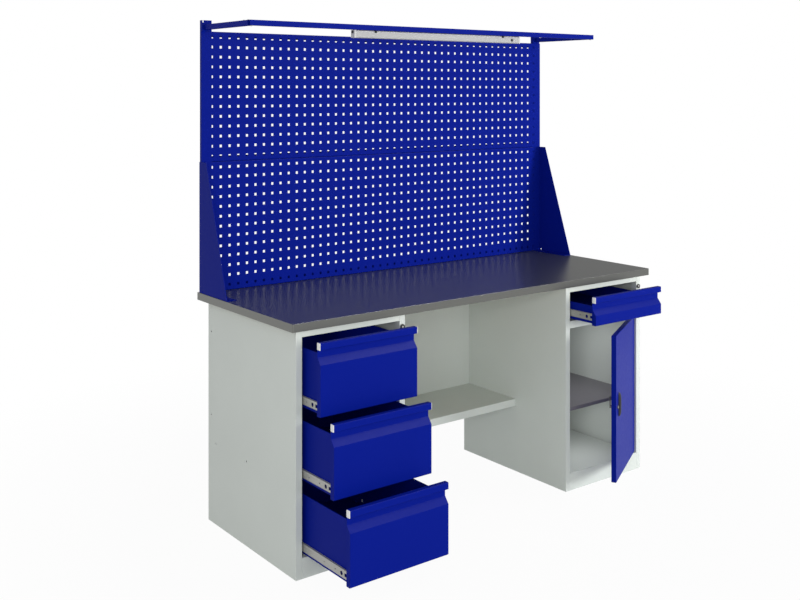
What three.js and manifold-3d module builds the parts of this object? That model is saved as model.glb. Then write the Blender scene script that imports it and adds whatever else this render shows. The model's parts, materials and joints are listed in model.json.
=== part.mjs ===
// A two-pedestal steel workbench: three drawers on the left, a drawer over a cupboard on the right,
// a shelf across the kneehole, and two perforated tool panels with a lamp frame above the worktop.
// Millimetres, +Z up, +X along the bench, +Y to the back. Sheet-metal pieces are folded from their
// real outlines, and every piece keeps a small gap to the piece that it touches.

import * as THREE from "three";
import { mergeVertices } from "three/addons/utils/BufferGeometryUtils.js";
import Module from "manifold-3d";

const wasm = await Module();
wasm.setup();

// Driving sizes

// clearance between pieces that touch
const GAP = 0.3;
// sheet of the pedestals, doors, drawers and shelves
const SHEET = 1.5;
// heavier sheet of the stands
const STAND_SHEET = 2;
// how far a cutting body runs past the face that it opens
const PAST = 5;

// worktop: a board in a folded steel cover
const TOP_WIDTH = 1800;
const TOP_DEPTH = 700;
const TOP_THICK = 28;
const TOP_OVERHANG = 27;
const TOP_SIDE_OVERHANG = 29;
const TOP_CORNER = 5;
const COVER_SHEET = 1.5;

// pedestals: the front plane is y = 0
const PEDESTAL_WIDTH = 458;
const PEDESTAL_DEPTH = 634;
const PEDESTAL_HEIGHT = 836;
const STILE = 24;
const STILE_DEPTH = 28;
const PLINTH = 70;
const TOP_RAIL = 26;
const TOP_FLANGE = 60;
const FOOT_FLANGE = 25;
const REAR_POST_FRONT = 535;
const REAR_POST_DEPTH = 30;

// drawers
const FRONT_SIDE_GAP = 4;
const FRONT_GAP = 2.7;
const FRONT_DEPTH = 21;
const LIP_HEIGHT = 24;
const FRONT_RETURN = 22;
const RECESS_DEPTH = 18;
const RECESS_WALL = 26;
const RECESS_SLOPE = 23;
const BOX_DROP = 38;
const BOX_RISE = 15;
const BOX_DEPTH = 575;
const BOX_HEM = 12;
const RIGHT_FRONT_HEIGHT = 114;

// full-extension slides: three nested rails
const SLIDE_LENGTH = 550;
const SLIDE_WIDTH = 12.7;
const SLIDE_SETBACK = 1;
const SLIDE_RISE = 32;
const RAIL_SHEET = 1.4;
const RAIL_PLAY = 0.4;
const OUTER_RAIL = 45;
const INNER_RAIL = 27.4;
const MIDDLE_RAIL_WIDTH = 8.5;
const INNER_RAIL_WIDTH = 8;
const RAIL_HOLE = 3;
const RAIL_HOLE_SETBACK = 30;

// how far each drawer stands open, and the angle of the door
const TOP_OUT = 107;
const MIDDLE_OUT = 187;
const BOTTOM_OUT = 278;
const RIGHT_OUT = 137;
const DOOR_OPEN = THREE.MathUtils.degToRad(30);

// divider, door and cupboard shelf
const DIVIDER = 29;
const DIVIDER_GAP = 3;
const DOOR_GAP = 4;
const DOOR_THICK = 20;
const DOOR_RETURN = 14;
const HINGE_INSET = 14;
const HINGE_PIN = 4;
const HINGE_PIN_LENGTH = 8;
const SHELF_TOP = 326;
const SHELF_LIP = 15;
const SHELF_SETBACK = 30;

// handle and locks
const HANDLE_HEIGHT = 97;
const HANDLE_WIDTH = 16;
const HANDLE_DEPTH = 15;
const HANDLE_FROM_EDGE = 50;
const HANDLE_BOTTOM = 326;
const HANDLE_END = 13;
const HANDLE_EDGE = 2.5;
const HANDLE_SCOOP = 9;
const DOOR_LOCK_FROM_EDGE = 30;
const DOOR_LOCK_HEIGHT = 368;
const DOOR_LOCK_BARREL = 6;
const DOOR_LOCK_FACE = 7.5;
const DOOR_LOCK_PROUD = 3;
const DOOR_LOCK_REACH = 22;
const CAM_LENGTH = 40;
const CAM_WIDTH = 12;
const CAM_SHEET = 2;
const STILE_LOCK_DROP = 48;
const STILE_LOCK_FACE = 9.5;
const STILE_LOCK_PROUD = 3.5;
const STILE_LOCK_BARREL = 7;
const STILE_LOCK_REACH = 20;
const ROUND_SIDES = 24;
const PIN_SIDES = 12;

// kneehole panel and shelf
const BACK_PANEL_FRONT = 598;
const BACK_PANEL_FLANGE = 25;
const KNEE_SHELF_TOP = 310;
const KNEE_SHELF_FLANGE = 30;
const KNEE_SHELF_DEPTH = 301.7;
// screw holes for the panel and the shelf, which a pedestal has on both of its sides
const FIXING_HOLE = 3;
const PANEL_FIXING_DROP = 115;
const PANEL_FIXING_RISE = 96;
const SHELF_FIXING_FRONT = 42;
const SHELF_FIXING_BACK = 25;
const SHELF_FIXING_DROP = 6;

// perforated panels
const PANEL_SETBACK = 2;
const PANEL_HEIGHT = 498;
const PANEL_FRONT = 637;
const PANEL_HEM = 20;
const PANEL_LIP = 20.5;
const PANEL_FOOT_LIP = 26;
const PANEL_SIDE_HEM = 14;
const PANEL_JOINT = 0.6;
const HOLE = 10;
const HOLE_PITCH = 38;
const HOLE_END_MARGIN = 35;
const HOLE_EDGE_MARGIN = 15;
// of the full pattern, the solid has every second hole of every second row
const HOLE_STEP = 2;

// stands: an upright behind the panels and a gusset below
const UPRIGHT_WIDTH = 40.5;
const UPRIGHT_SETBACK = 43;
const UPRIGHT_HEIGHT = 1039;
const UPRIGHT_NOTCH = 5;
const UPRIGHT_NOTCH_DEPTH = 9;
const GUSSET_FOOT = 221;
const GUSSET_HEAD = 57;
const GUSSET_FLANGE = 38;
const GUSSET_RELIEF = 3.5;
const GUSSET_RELIEF_SETBACK = 29;
const GUSSET_RELIEF_RISE = 6;

// lamp frame and lamp
const FRAME_TUBE = 20;
const FRAME_SETBACK = 11;
const FRAME_RISE = 1003;
const FRAME_FRONT = 282;
const LAMP_LENGTH = 866;
const LAMP_HEIGHT = 30.2;
const LAMP_DEPTH = 24;
const LAMP_BACK = 12;
const LAMP_SETBACK = 7;
const LAMP_END = 8;
const LAMP_ROUND = 6;

// Places worked out from the sizes

const TOP_Z = PEDESTAL_HEIGHT + TOP_THICK;
const TOP_FRONT = -TOP_OVERHANG;
const TOP_REAR = TOP_FRONT + TOP_DEPTH;
const STAND_BASE = TOP_Z + GAP;
const CARCASS_TOP = PEDESTAL_HEIGHT - GAP;
const KNEEHOLE = TOP_WIDTH - 2 * (PEDESTAL_WIDTH + TOP_SIDE_OVERHANG);
const PEDESTAL_X = (KNEEHOLE + PEDESTAL_WIDTH) / 2;
const OPENING = PEDESTAL_WIDTH - 2 * STILE;
const OPENING_TOP = PEDESTAL_HEIGHT - TOP_RAIL;
const STILE_LOCK_HEIGHT = PEDESTAL_HEIGHT - STILE_LOCK_DROP;
const BACK_INNER = PEDESTAL_DEPTH - SHEET;
const FRONT_WIDTH = OPENING - 2 * FRONT_SIDE_GAP;
const BOX_WIDTH = OPENING - 2 * (SLIDE_WIDTH + GAP);
const SLIDE_FRONT = FRONT_DEPTH + SLIDE_SETBACK;
const PANEL_WIDTH = TOP_WIDTH - 2 * PANEL_SETBACK;
const PANEL_REAR = PANEL_FRONT + PANEL_HEM;
const HOLE_COLUMNS = Math.floor((PANEL_WIDTH - 2 * HOLE_END_MARGIN) / HOLE_PITCH) + 1;
const HOLE_ROWS = Math.floor((PANEL_HEIGHT - 2 * HOLE_EDGE_MARGIN) / HOLE_PITCH) + 1;
const UPRIGHT_INNER = PANEL_WIDTH / 2 - UPRIGHT_SETBACK;
const UPRIGHT_FRONT = PANEL_FRONT + SHEET + GAP;
const GUSSET_INNER = UPRIGHT_INNER + UPRIGHT_WIDTH + GAP;
const GUSSET_OUTER = GUSSET_INNER + STAND_SHEET;
const GUSSET_HEIGHT = PANEL_HEIGHT + PANEL_JOINT - GAP;
const DIVIDER_TOP = OPENING_TOP - FRONT_GAP / 2 - RIGHT_FRONT_HEIGHT - DIVIDER_GAP;
const DIVIDER_BOTTOM = DIVIDER_TOP - DIVIDER;
const HINGE_X = PEDESTAL_X + OPENING / 2 - DOOR_GAP - HINGE_INSET;
const HINGE_Y = DOOR_THICK / 2;
const FRAME_OUTER = PANEL_WIDTH / 2 - FRAME_SETBACK;
const FRAME_Z = TOP_Z + FRAME_RISE;
// the origin is the middle of the footprint, from the lowest drawer's front to the worktop's rear edge
const ORIGIN_Y = (TOP_REAR - BOTTOM_OUT) / 2;

// Materials

const paint = (color, roughness, metalness) => new THREE.MeshStandardMaterial({ color, roughness, metalness });
const greyEnamel = paint(0xb9bdb9, 0.5, 0);
const blueEnamel = paint(0x101a8c, 0.45, 0);
const darkEnamel = paint(0x5b595c, 0.5, 0);
const satinSteel = paint(0x6d6d6a, 0.4, 0.6);
const chipboard = paint(0x9c8565, 0.8, 0);
const zinc = paint(0xb7b6b0, 0.35, 0.9);
const blackPlastic = paint(0x1c1d1f, 0.5, 0);
const lampWhite = paint(0xe6e6e2, 0.5, 0);
const lampCover = paint(0xcfcfca, 0.3, 0);

// Shape tools

const box = (x0, x1, y0, y1, z0, z1) =>
  new THREE.BoxGeometry(x1 - x0, y1 - y0, z1 - z0).translate((x0 + x1) / 2, (y0 + y1) / 2, (z0 + z1) / 2);

// turns a prism that was extruded along +Z so that it runs along another axis
const TURN = {
  x: new THREE.Matrix4().set(0, 0, 1, 0, 1, 0, 0, 0, 0, 1, 0, 0, 0, 0, 0, 1),
  y: new THREE.Matrix4().set(0, 1, 0, 0, 0, 0, 1, 0, 1, 0, 0, 0, 0, 0, 0, 1),
  z: new THREE.Matrix4(),
};

// a prism between two places on an axis; its outline is in (y, z) for x, (z, x) for y and (x, y) for z
const prism = (axis, outline, from, to) => {
  const points = outline.map(([a, b]) => new THREE.Vector2(a, b));
  const settings = { depth: to - from, bevelEnabled: false };
  const geometry = new THREE.ExtrudeGeometry(new THREE.Shape(points), settings).translate(0, 0, from);
  return geometry.applyMatrix4(TURN[axis]);
};

// the outline of a regular polygon that stands for a circle
const round = (cu, cv, radius, sides) =>
  Array.from({ length: sides }, (_, i) => {
    const angle = (2 * Math.PI * i) / sides;
    return [cu + radius * Math.cos(angle), cv + radius * Math.sin(angle)];
  });

// the outline of a sheet folded along a path: the path is its outer face, the wall lies to the right
const folded = (path, wall) => {
  const rightOf = ([ax, ay], [bx, by]) => {
    const length = Math.hypot(bx - ax, by - ay);
    return [(by - ay) / length, (ax - bx) / length];
  };
  const inner = path.map((point, i) => {
    const before = rightOf(path[Math.max(i - 1, 0)], path[Math.max(i, 1)]);
    const after = rightOf(path[Math.min(i, path.length - 2)], path[Math.min(i + 1, path.length - 1)]);
    const scale = wall / (1 + before[0] * after[0] + before[1] * after[1]);
    return [point[0] + scale * (before[0] + after[0]), point[1] + scale * (before[1] + after[1])];
  });
  return [...path, ...inner.reverse()];
};

const toSolid = (geometry) => {
  const bare = geometry.clone();
  bare.deleteAttribute("normal");
  bare.deleteAttribute("uv");
  const merged = mergeVertices(bare, 1e-4);
  const vertProperties = merged.getAttribute("position").array;
  const triVerts = new Uint32Array(merged.index.array);
  return new wasm.Manifold(new wasm.Mesh({ numProp: 3, vertProperties, triVerts }));
};

const toGeometry = (solid) => {
  const { vertProperties, triVerts } = solid.getMesh();
  const geometry = new THREE.BufferGeometry();
  geometry.setAttribute("position", new THREE.BufferAttribute(new Float32Array(vertProperties), 3));
  geometry.setIndex(new THREE.BufferAttribute(new Uint32Array(triVerts), 1));
  geometry.computeVertexNormals();
  return geometry;
};

const join = (...parts) => toGeometry(parts.map(toSolid).reduce((all, part) => all.add(part)));
const cut = (base, ...tools) => toGeometry(tools.map(toSolid).reduce((left, tool) => left.subtract(tool), toSolid(base)));

// a box hollowed to its walls and left open on one side: "top", "bottom", "back"
const tray = (x0, x1, y0, y1, z0, z1, wall, open) => {
  const high = open === "top" ? z1 + PAST : z1 - wall;
  const low = open === "bottom" ? z0 - PAST : z0 + wall;
  const back = open === "back" ? y1 + PAST : y1 - wall;
  return cut(box(x0, x1, y0, y1, z0, z1), box(x0 + wall, x1 - wall, y0 + wall, back, low, high));
};

const bench = new THREE.Group();
bench.position.y = -ORIGIN_Y;

const add = (name, geometry, material, parent = bench) => {
  const mesh = new THREE.Mesh(geometry, material);
  mesh.name = name;
  parent.add(mesh);
  return mesh;
};

// Worktop

const roundedRectangle = (x0, x1, y0, y1, radius) => {
  const shape = new THREE.Shape();
  shape.moveTo(x0 + radius, y0);
  shape.absarc(x1 - radius, y0 + radius, radius, -Math.PI / 2, 0);
  shape.absarc(x1 - radius, y1 - radius, radius, 0, Math.PI / 2);
  shape.absarc(x0 + radius, y1 - radius, radius, Math.PI / 2, Math.PI);
  shape.absarc(x0 + radius, y0 + radius, radius, Math.PI, (3 * Math.PI) / 2);
  return shape;
};

function worktop() {
  const half = TOP_WIDTH / 2;
  const plate = (inset, radius, from, to) => {
    const outline = roundedRectangle(inset - half, half - inset, TOP_FRONT + inset, TOP_REAR - inset, radius);
    const settings = { depth: to - from, bevelEnabled: false, curveSegments: 3 };
    return new THREE.ExtrudeGeometry(outline, settings).translate(0, 0, from);
  };
  const innerCorner = TOP_CORNER - COVER_SHEET;
  const blank = plate(0, TOP_CORNER, PEDESTAL_HEIGHT, TOP_Z);
  const hollow = plate(COVER_SHEET, innerCorner, PEDESTAL_HEIGHT - PAST, TOP_Z - COVER_SHEET);
  add("worktop_cover", cut(blank, hollow), satinSteel);
  const play = COVER_SHEET + GAP;
  add("worktop_board", plate(play, innerCorner - GAP, PEDESTAL_HEIGHT, TOP_Z - play), chipboard);
}

// Pedestals

// Sides and back of one sheet, box-section stiles in front and posts near the back that carry the slides.
function pedestalShell(side, centre) {
  const outer = PEDESTAL_WIDTH / 2;
  const inner = OPENING / 2;
  const run = [-PAST, PEDESTAL_HEIGHT + PAST];
  const postBack = REAR_POST_FRONT + REAR_POST_DEPTH;
  const hollows = [box(centre - inner, centre + inner, -PAST, BACK_INNER, ...run)];
  for (const hand of [-1, 1]) {
    const wall = centre + hand * (outer - SHEET);
    const edge = centre + hand * inner;
    const skin = edge + hand * SHEET;
    const pocket = (a, b, front, back) => box(Math.min(a, b), Math.max(a, b), front, back, ...run);
    hollows.push(pocket(wall, edge, STILE_DEPTH, REAR_POST_FRONT));
    hollows.push(pocket(wall, edge, postBack, BACK_INNER));
    hollows.push(pocket(wall, skin, SHEET, STILE_DEPTH - SHEET));
    hollows.push(pocket(wall, skin, REAR_POST_FRONT + SHEET, postBack - SHEET));
  }
  const lockHole = round(STILE_LOCK_HEIGHT, lockX(centre), STILE_LOCK_BARREL + GAP, ROUND_SIDES);
  const block = box(centre - outer, centre + outer, 0, PEDESTAL_DEPTH, 0, CARCASS_TOP);
  const lockBore = prism("y", lockHole, -PAST, STILE_DEPTH / 2);
  const shell = cut(block, ...hollows, lockBore, ...fixingHoles(centre + Math.sign(centre) * outer));
  add(`${side}_pedestal_shell`, shell, greyEnamel);
}

// The holes that stay free, on the side away from the kneehole.
function fixingHoles(wall) {
  const shelfBack = BACK_PANEL_FRONT - GAP;
  const panelLine = BACK_PANEL_FRONT + BACK_PANEL_FLANGE / 2;
  const shelfLine = KNEE_SHELF_TOP - SHELF_FIXING_DROP;
  const spots = [
    [panelLine, PEDESTAL_HEIGHT - PANEL_FIXING_DROP],
    [panelLine, KNEE_SHELF_TOP + PANEL_FIXING_RISE],
    [shelfBack - KNEE_SHELF_DEPTH + SHELF_FIXING_FRONT, shelfLine],
    [shelfBack - SHELF_FIXING_BACK, shelfLine],
  ];
  return spots.map(([y, z]) => prism("x", round(y, z, FIXING_HOLE, PIN_SIDES), wall - PAST, wall + PAST));
}

// The bottom of a pedestal: a tray turned down, with the plinth as its front and flanges on the floor.
function pedestalBase(side, centre, hinged) {
  const half = OPENING / 2 - GAP;
  const back = BACK_INNER - GAP;
  const shell = box(centre - half, centre + half, 0, back, 0, PLINTH);
  const inside = box(centre - half + SHEET, centre + half - SHEET, SHEET, back - SHEET, SHEET, PLINTH - SHEET);
  const mouth = box(centre - half + FOOT_FLANGE, centre + half - FOOT_FLANGE,
    FOOT_FLANGE, back - FOOT_FLANGE, -PAST, 2 * SHEET);
  const cuts = [inside, mouth];
  if (hinged) cuts.push(hingeHole(PLINTH - PAST, PLINTH + PAST));
  add(`${side}_pedestal_base`, cut(shell, ...cuts), greyEnamel);
}

// The frame under the worktop: a front rail, a flange all round and side and rear walls.
function pedestalTop(side, centre) {
  const half = OPENING / 2 - GAP;
  const back = BACK_INNER - GAP;
  const frame = tray(centre - half, centre + half, 0, back, OPENING_TOP, CARCASS_TOP, SHEET, "bottom");
  const mouth = box(centre - half + TOP_FLANGE, centre + half - TOP_FLANGE,
    TOP_FLANGE, back - TOP_FLANGE, OPENING_TOP, CARCASS_TOP + PAST);
  add(`${side}_pedestal_top`, cut(frame, mouth), greyEnamel);
}

const lockX = (centre) => centre + (OPENING + STILE) / 2;

// A key lock on the right stile: a round face, a barrel through the stile.
function stileLock(side, centre) {
  const face = prism("y", round(STILE_LOCK_HEIGHT, lockX(centre), STILE_LOCK_FACE, ROUND_SIDES),
    -GAP - STILE_LOCK_PROUD, -GAP);
  const barrel = prism("y", round(STILE_LOCK_HEIGHT, lockX(centre), STILE_LOCK_BARREL, ROUND_SIDES),
    -GAP - STILE_LOCK_PROUD / 2, STILE_LOCK_REACH);
  add(`${side}_pedestal_lock`, join(face, barrel), blackPlastic);
}

// Cupboard

const hingeHole = (from, to) => prism("z", round(HINGE_X, HINGE_Y, HINGE_PIN + GAP, PIN_SIDES), from, to);

// The plate between drawer and cupboard: a tray turned down, with a flange under its front for the hinge.
function divider(centre) {
  const half = OPENING / 2 - GAP;
  const back = BACK_INNER - GAP;
  const plate = tray(centre - half, centre + half, 0, back, DIVIDER_BOTTOM, DIVIDER_TOP, SHEET, "bottom");
  const flange = box(centre - half, centre + half, 0, STILE_DEPTH, DIVIDER_BOTTOM, DIVIDER_BOTTOM + SHEET);
  const holed = cut(join(plate, flange), hingeHole(DIVIDER_BOTTOM - PAST, DIVIDER_BOTTOM + PAST));
  add("right_pedestal_divider", holed, greyEnamel);
}

function cupboardShelf(centre) {
  const half = PEDESTAL_WIDTH / 2 - SHEET - GAP;
  const back = REAR_POST_FRONT - GAP;
  const shelf = tray(centre - half, centre + half, SHELF_SETBACK, back,
    SHELF_TOP - SHELF_LIP, SHELF_TOP, SHEET, "bottom");
  add("cupboard_shelf", shelf, darkEnamel);
}

// The door hangs on two pins; everything on it is placed from the hinge line.
function door(centre) {
  const leaf = new THREE.Group();
  leaf.position.set(HINGE_X, HINGE_Y, 0);
  leaf.rotation.z = DOOR_OPEN;
  bench.add(leaf);
  const hinged = HINGE_INSET;
  const free = hinged - (OPENING - 2 * DOOR_GAP);
  const front = -DOOR_THICK / 2;
  const rear = DOOR_THICK / 2;
  const low = PLINTH + DOOR_GAP;
  const high = DIVIDER_BOTTOM - DOOR_GAP;
  const blank = box(free, hinged, front, rear, low, high);
  const inside = box(free + SHEET, hinged - SHEET, front + SHEET, rear - SHEET, low + SHEET, high - SHEET);
  const mouth = box(free + DOOR_RETURN, hinged - 2 * HINGE_INSET, 0, rear + PAST, low + DOOR_RETURN, high - DOOR_RETURN);
  const lockMiddle = free + DOOR_LOCK_FROM_EDGE;
  const lockHole = round(DOOR_LOCK_HEIGHT, lockMiddle, DOOR_LOCK_BARREL + GAP, ROUND_SIDES);
  const pan = cut(blank, inside, mouth, prism("y", lockHole, front - PAST, 0));
  const pin = (from, to) => prism("z", round(0, 0, HINGE_PIN, PIN_SIDES), from, to);
  const pins = [pin(low - HINGE_PIN_LENGTH, low + SHEET), pin(high - SHEET, high + HINGE_PIN_LENGTH)];
  add("door", join(pan, ...pins), blueEnamel, leaf);
  doorHandle(leaf, free + HANDLE_FROM_EDGE, front - GAP);
  doorLock(leaf, lockMiddle, front - GAP);
}

// A pull handle: a tapered bar with softened edges and a finger scoop on the hinge side.
function doorHandle(leaf, middle, skin) {
  const top = HANDLE_BOTTOM + HANDLE_HEIGHT;
  const face = skin - HANDLE_DEPTH;
  const side = new THREE.Shape([
    [skin - HANDLE_EDGE, HANDLE_BOTTOM + HANDLE_EDGE],
    [skin - HANDLE_EDGE, top - HANDLE_EDGE],
    [skin - 2 * HANDLE_EDGE, top - HANDLE_EDGE],
    [face + HANDLE_EDGE, top - HANDLE_END],
    [face + HANDLE_EDGE, HANDLE_BOTTOM + HANDLE_END],
    [skin - 2 * HANDLE_EDGE, HANDLE_BOTTOM + HANDLE_EDGE],
  ].map(([y, z]) => new THREE.Vector2(y, z)));
  const soft = { bevelThickness: HANDLE_EDGE, bevelSize: HANDLE_EDGE, bevelSegments: 2 };
  const width = HANDLE_WIDTH - 2 * HANDLE_EDGE;
  const bar = new THREE.ExtrudeGeometry(side, { depth: width, ...soft });
  bar.applyMatrix4(TURN.x).translate(middle - width / 2, 0, 0);
  const scoopOutline = round(skin, middle + HANDLE_WIDTH / 2, HANDLE_SCOOP, ROUND_SIDES).map(([y, x]) => [x, y]);
  const scoop = prism("z", scoopOutline, HANDLE_BOTTOM + 2 * HANDLE_END, top - 2 * HANDLE_END);
  add("door_handle", cut(bar, scoop), blackPlastic, leaf);
}

// A key cylinder through the door skin, with a cam behind that swings past the door's edge.
function doorLock(leaf, x, skin) {
  const disc = (radius, from, to) => prism("y", round(DOOR_LOCK_HEIGHT, x, radius, ROUND_SIDES), from, to);
  const face = disc(DOOR_LOCK_FACE, skin - DOOR_LOCK_PROUD, skin);
  const barrel = disc(DOOR_LOCK_BARREL, skin - DOOR_LOCK_PROUD / 2, DOOR_LOCK_REACH);
  const cam = box(x - CAM_WIDTH / 2, x + CAM_WIDTH / 2, DOOR_LOCK_REACH - CAM_SHEET, DOOR_LOCK_REACH,
    DOOR_LOCK_HEIGHT - CAM_WIDTH / 2, DOOR_LOCK_HEIGHT + CAM_LENGTH);
  add("door_lock", join(face, barrel, cam), zinc, leaf);
}

// Drawers

// A drawer and its slides, drawn shut. Front, box and inner rails are then pulled out together; the middle
// rails follow only once the inner ones reach the end of their travel, so here they are still fully in.
function drawer(name, centre, bottom, height, out) {
  const pulled = new THREE.Group();
  pulled.position.y = -out;
  bench.add(pulled);
  add(`${name}_front`, drawerFront(centre, bottom, height), blueEnamel, pulled);
  add(`${name}_box`, drawerBox(centre, bottom + BOX_RISE, bottom + height - BOX_DROP), blueEnamel, pulled);
  for (const [side, hand] of [["left", 1], ["right", -1]]) {
    const rail = railMaker(centre - hand * (OPENING / 2), hand, bottom + SLIDE_RISE);
    add(`${name}_${side}_outer_rail`, rail.outer(), zinc);
    add(`${name}_${side}_middle_rail`, rail.middle(), zinc);
    add(`${name}_${side}_inner_rail`, rail.inner(), zinc, pulled);
  }
}

// One sheet folded to a hollow lip, a grip recess and a flat face. Its ends are closed, and the returns
// behind its bottom and ends are where the box is fixed.
function drawerFront(centre, bottom, height) {
  const top = bottom + height;
  const recessTop = top - LIP_HEIGHT;
  const recessFoot = recessTop - RECESS_WALL;
  const slopeFoot = recessFoot - RECESS_SLOPE;
  const section = folded([
    [FRONT_DEPTH, bottom + FRONT_RETURN],
    [FRONT_DEPTH, bottom],
    [0, bottom],
    [0, slopeFoot],
    [RECESS_DEPTH, recessFoot],
    [RECESS_DEPTH, recessTop],
    [0, recessTop],
    [0, top],
    [FRONT_DEPTH, top],
    [FRONT_DEPTH, recessTop + 2 * SHEET],
  ], SHEET);
  const end = [
    [0, bottom],
    [FRONT_DEPTH, bottom],
    [FRONT_DEPTH, recessFoot],
    [RECESS_DEPTH, recessFoot],
    [0, slopeFoot],
  ];
  const left = centre - FRONT_WIDTH / 2;
  const right = centre + FRONT_WIDTH / 2;
  const flange = (from, to) => box(from, to, FRONT_DEPTH - SHEET, FRONT_DEPTH, bottom, recessFoot);
  return join(
    prism("x", section, left, right),
    prism("x", end, left, left + SHEET),
    prism("x", end, right - SHEET, right),
    flange(left, left + FRONT_RETURN),
    flange(right - FRONT_RETURN, right),
  );
}

// An open box whose top edges are doubled by a hem.
function drawerBox(centre, low, high) {
  const half = BOX_WIDTH / 2;
  const front = FRONT_DEPTH + GAP;
  const back = front + BOX_DEPTH;
  const hem = 2 * SHEET;
  const under = box(centre - half + SHEET, centre + half - SHEET, front + SHEET, back - SHEET,
    low + SHEET, high - BOX_HEM);
  const mouth = box(centre - half + hem, centre + half - hem, front + hem, back - hem, low + BOX_HEM, high + PAST);
  return cut(box(centre - half, centre + half, front, back, low, high), under, mouth);
}

// The three rails of a slide, from the stile's inner face towards the drawer, in (z, x) outlines.
function railMaker(face, hand, middleZ) {
  const start = SLIDE_FRONT;
  const end = SLIDE_FRONT + SLIDE_LENGTH;
  const at = (across) => face + hand * across;
  // a channel between two distances from the stile; its web is at the first one
  const channel = (web, tip, height, flange) => {
    const way = Math.sign(tip - web);
    const corners = [
      [-height / 2, web],
      [-height / 2, tip],
      [flange - height / 2, tip],
      [flange - height / 2, web + way * RAIL_SHEET],
      [height / 2 - flange, web + way * RAIL_SHEET],
      [height / 2 - flange, tip],
      [height / 2, tip],
      [height / 2, web],
    ];
    return prism("y", corners.map(([z, across]) => [middleZ + z, at(across)]), start, end);
  };
  const middleHeight = OUTER_RAIL - 2 * (RAIL_SHEET + RAIL_PLAY);
  const race = (middleHeight - INNER_RAIL) / 2 - RAIL_PLAY;
  const middleWeb = GAP + RAIL_SHEET + RAIL_PLAY;
  const innerWeb = SLIDE_WIDTH;
  const hole = (setback) => {
    const outline = round(middleZ, at(innerWeb), RAIL_HOLE, PIN_SIDES);
    const turned = outline.map(([z, x]) => [x - at(innerWeb) + start + setback, z]);
    const [from, to] = [at(innerWeb - 2 * RAIL_SHEET), at(innerWeb + PAST)].sort((a, b) => a - b);
    return prism("x", turned, from, to);
  };
  return {
    outer: () => channel(GAP, SLIDE_WIDTH - 2 * GAP, OUTER_RAIL, RAIL_SHEET),
    middle: () => channel(middleWeb, middleWeb + MIDDLE_RAIL_WIDTH, middleHeight, race),
    inner: () => cut(channel(innerWeb, innerWeb - INNER_RAIL_WIDTH, INNER_RAIL, RAIL_SHEET), hole(RAIL_HOLE_SETBACK)),
  };
}

// Kneehole

function kneehole() {
  const half = KNEEHOLE / 2 - GAP;
  const low = KNEE_SHELF_TOP - KNEE_SHELF_FLANGE;
  const panelBack = BACK_PANEL_FRONT + BACK_PANEL_FLANGE;
  const panel = tray(-half, half, BACK_PANEL_FRONT, panelBack, low, CARCASS_TOP, SHEET, "back");
  add("kneehole_back_panel", panel, greyEnamel);
  const back = BACK_PANEL_FRONT - GAP;
  const shelf = tray(-half, half, back - KNEE_SHELF_DEPTH, back, low, KNEE_SHELF_TOP, SHEET, "bottom");
  add("kneehole_shelf", shelf, greyEnamel);
}

// Stands

// from a distance to the middle of the bench to a place on its left or right half
const spanX = (hand, a, b) => (hand > 0 ? [a, b] : [-b, -a]);

function gusset(side, hand) {
  const foot = PANEL_REAR - GUSSET_FOOT;
  const head = PANEL_REAR - GUSSET_HEAD;
  const top = STAND_BASE + GUSSET_HEIGHT;
  const web = [
    [PANEL_REAR, STAND_BASE],
    [foot, STAND_BASE],
    [head, top],
    [PANEL_REAR, top],
  ];
  const plate = prism("x", web, ...spanX(hand, GUSSET_INNER, GUSSET_OUTER));
  const sole = box(...spanX(hand, GUSSET_INNER - GUSSET_FLANGE, GUSSET_OUTER), foot, PANEL_FRONT - GAP,
    STAND_BASE, STAND_BASE + STAND_SHEET);
  const relief = round(PANEL_REAR - GUSSET_RELIEF_SETBACK, STAND_BASE + GUSSET_RELIEF_RISE, GUSSET_RELIEF, PIN_SIDES);
  const hole = prism("x", relief, ...spanX(hand, GUSSET_INNER - PAST, GUSSET_OUTER + PAST));
  add(`${side}_gusset`, cut(join(plate, sole), hole), blueEnamel);
}

// A channel open to the back, with a relief notch at the top of its outer bend.
function upright(side, hand) {
  const outer = UPRIGHT_INNER + UPRIGHT_WIDTH;
  const path = [
    [UPRIGHT_INNER, PANEL_REAR],
    [UPRIGHT_INNER, UPRIGHT_FRONT],
    [outer, UPRIGHT_FRONT],
    [outer, PANEL_REAR],
  ];
  const section = folded(path.reverse(), STAND_SHEET).map(([x, y]) => [hand * x, y]);
  const top = STAND_BASE + UPRIGHT_HEIGHT;
  const post = prism("z", section, STAND_BASE, top);
  const notchEnd = outer - STAND_SHEET;
  const notch = box(...spanX(hand, notchEnd - UPRIGHT_NOTCH, notchEnd), UPRIGHT_FRONT - PAST,
    UPRIGHT_FRONT + STAND_SHEET + GAP, top - UPRIGHT_NOTCH_DEPTH, top + PAST);
  add(`${side}_upright`, cut(post, notch), blueEnamel);
}

// Perforated panels

function holes(low) {
  const firstColumn = (-HOLE_PITCH * (HOLE_COLUMNS - 1)) / 2;
  const firstRow = low + (PANEL_HEIGHT - HOLE_PITCH * (HOLE_ROWS - 1)) / 2;
  const punches = [];
  for (let column = 0; column < HOLE_COLUMNS; column += HOLE_STEP)
    for (let row = 1; row < HOLE_ROWS; row += HOLE_STEP) {
      const x = firstColumn + column * HOLE_PITCH;
      const z = firstRow + row * HOLE_PITCH;
      punches.push(box(x - HOLE / 2, x + HOLE / 2, PANEL_FRONT - PAST, PANEL_FRONT + PAST, z - HOLE / 2, z + HOLE / 2));
    }
  return punches;
}

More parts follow.
